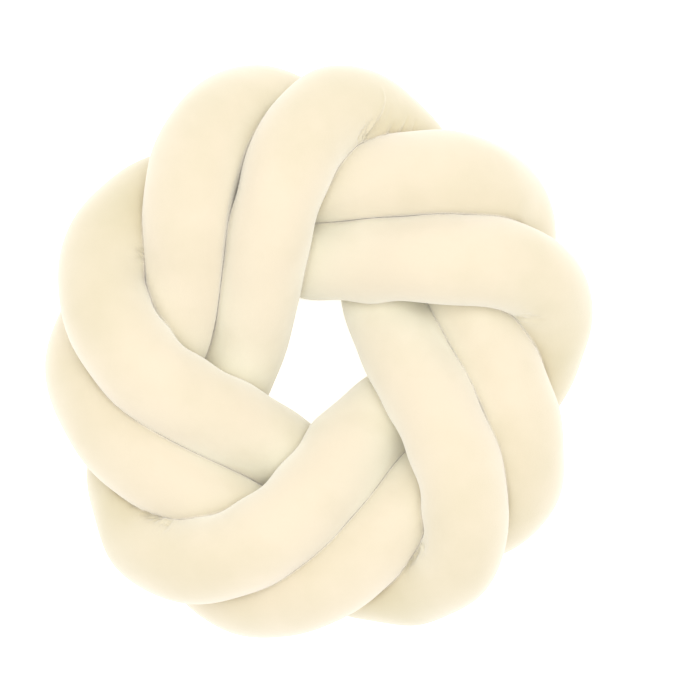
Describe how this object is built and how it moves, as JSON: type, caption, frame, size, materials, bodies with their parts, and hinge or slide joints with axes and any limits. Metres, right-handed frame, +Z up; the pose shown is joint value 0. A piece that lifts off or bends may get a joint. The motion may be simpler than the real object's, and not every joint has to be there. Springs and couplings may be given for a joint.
{
  "type": "knot cushion",
  "caption": "Ring knot cushion: one long stuffed velvet tube woven in doubled strands round an open middle, flat underneath.",
  "frame": {"origin": "under the middle of the cushion, on the flat of its underside", "axes": "+Z up through the middle opening; +Y towards the side that the picture shows at the top"},
  "size_m": [0.4026, 0.4234, 0.1467],
  "materials": {
    "cover": "cream short-pile velvet, matt with a pale sheen at its edges"
  },
  "bodies": {
    "root": {"knotted_tube": "cover"}
  },
  "joints": []
}
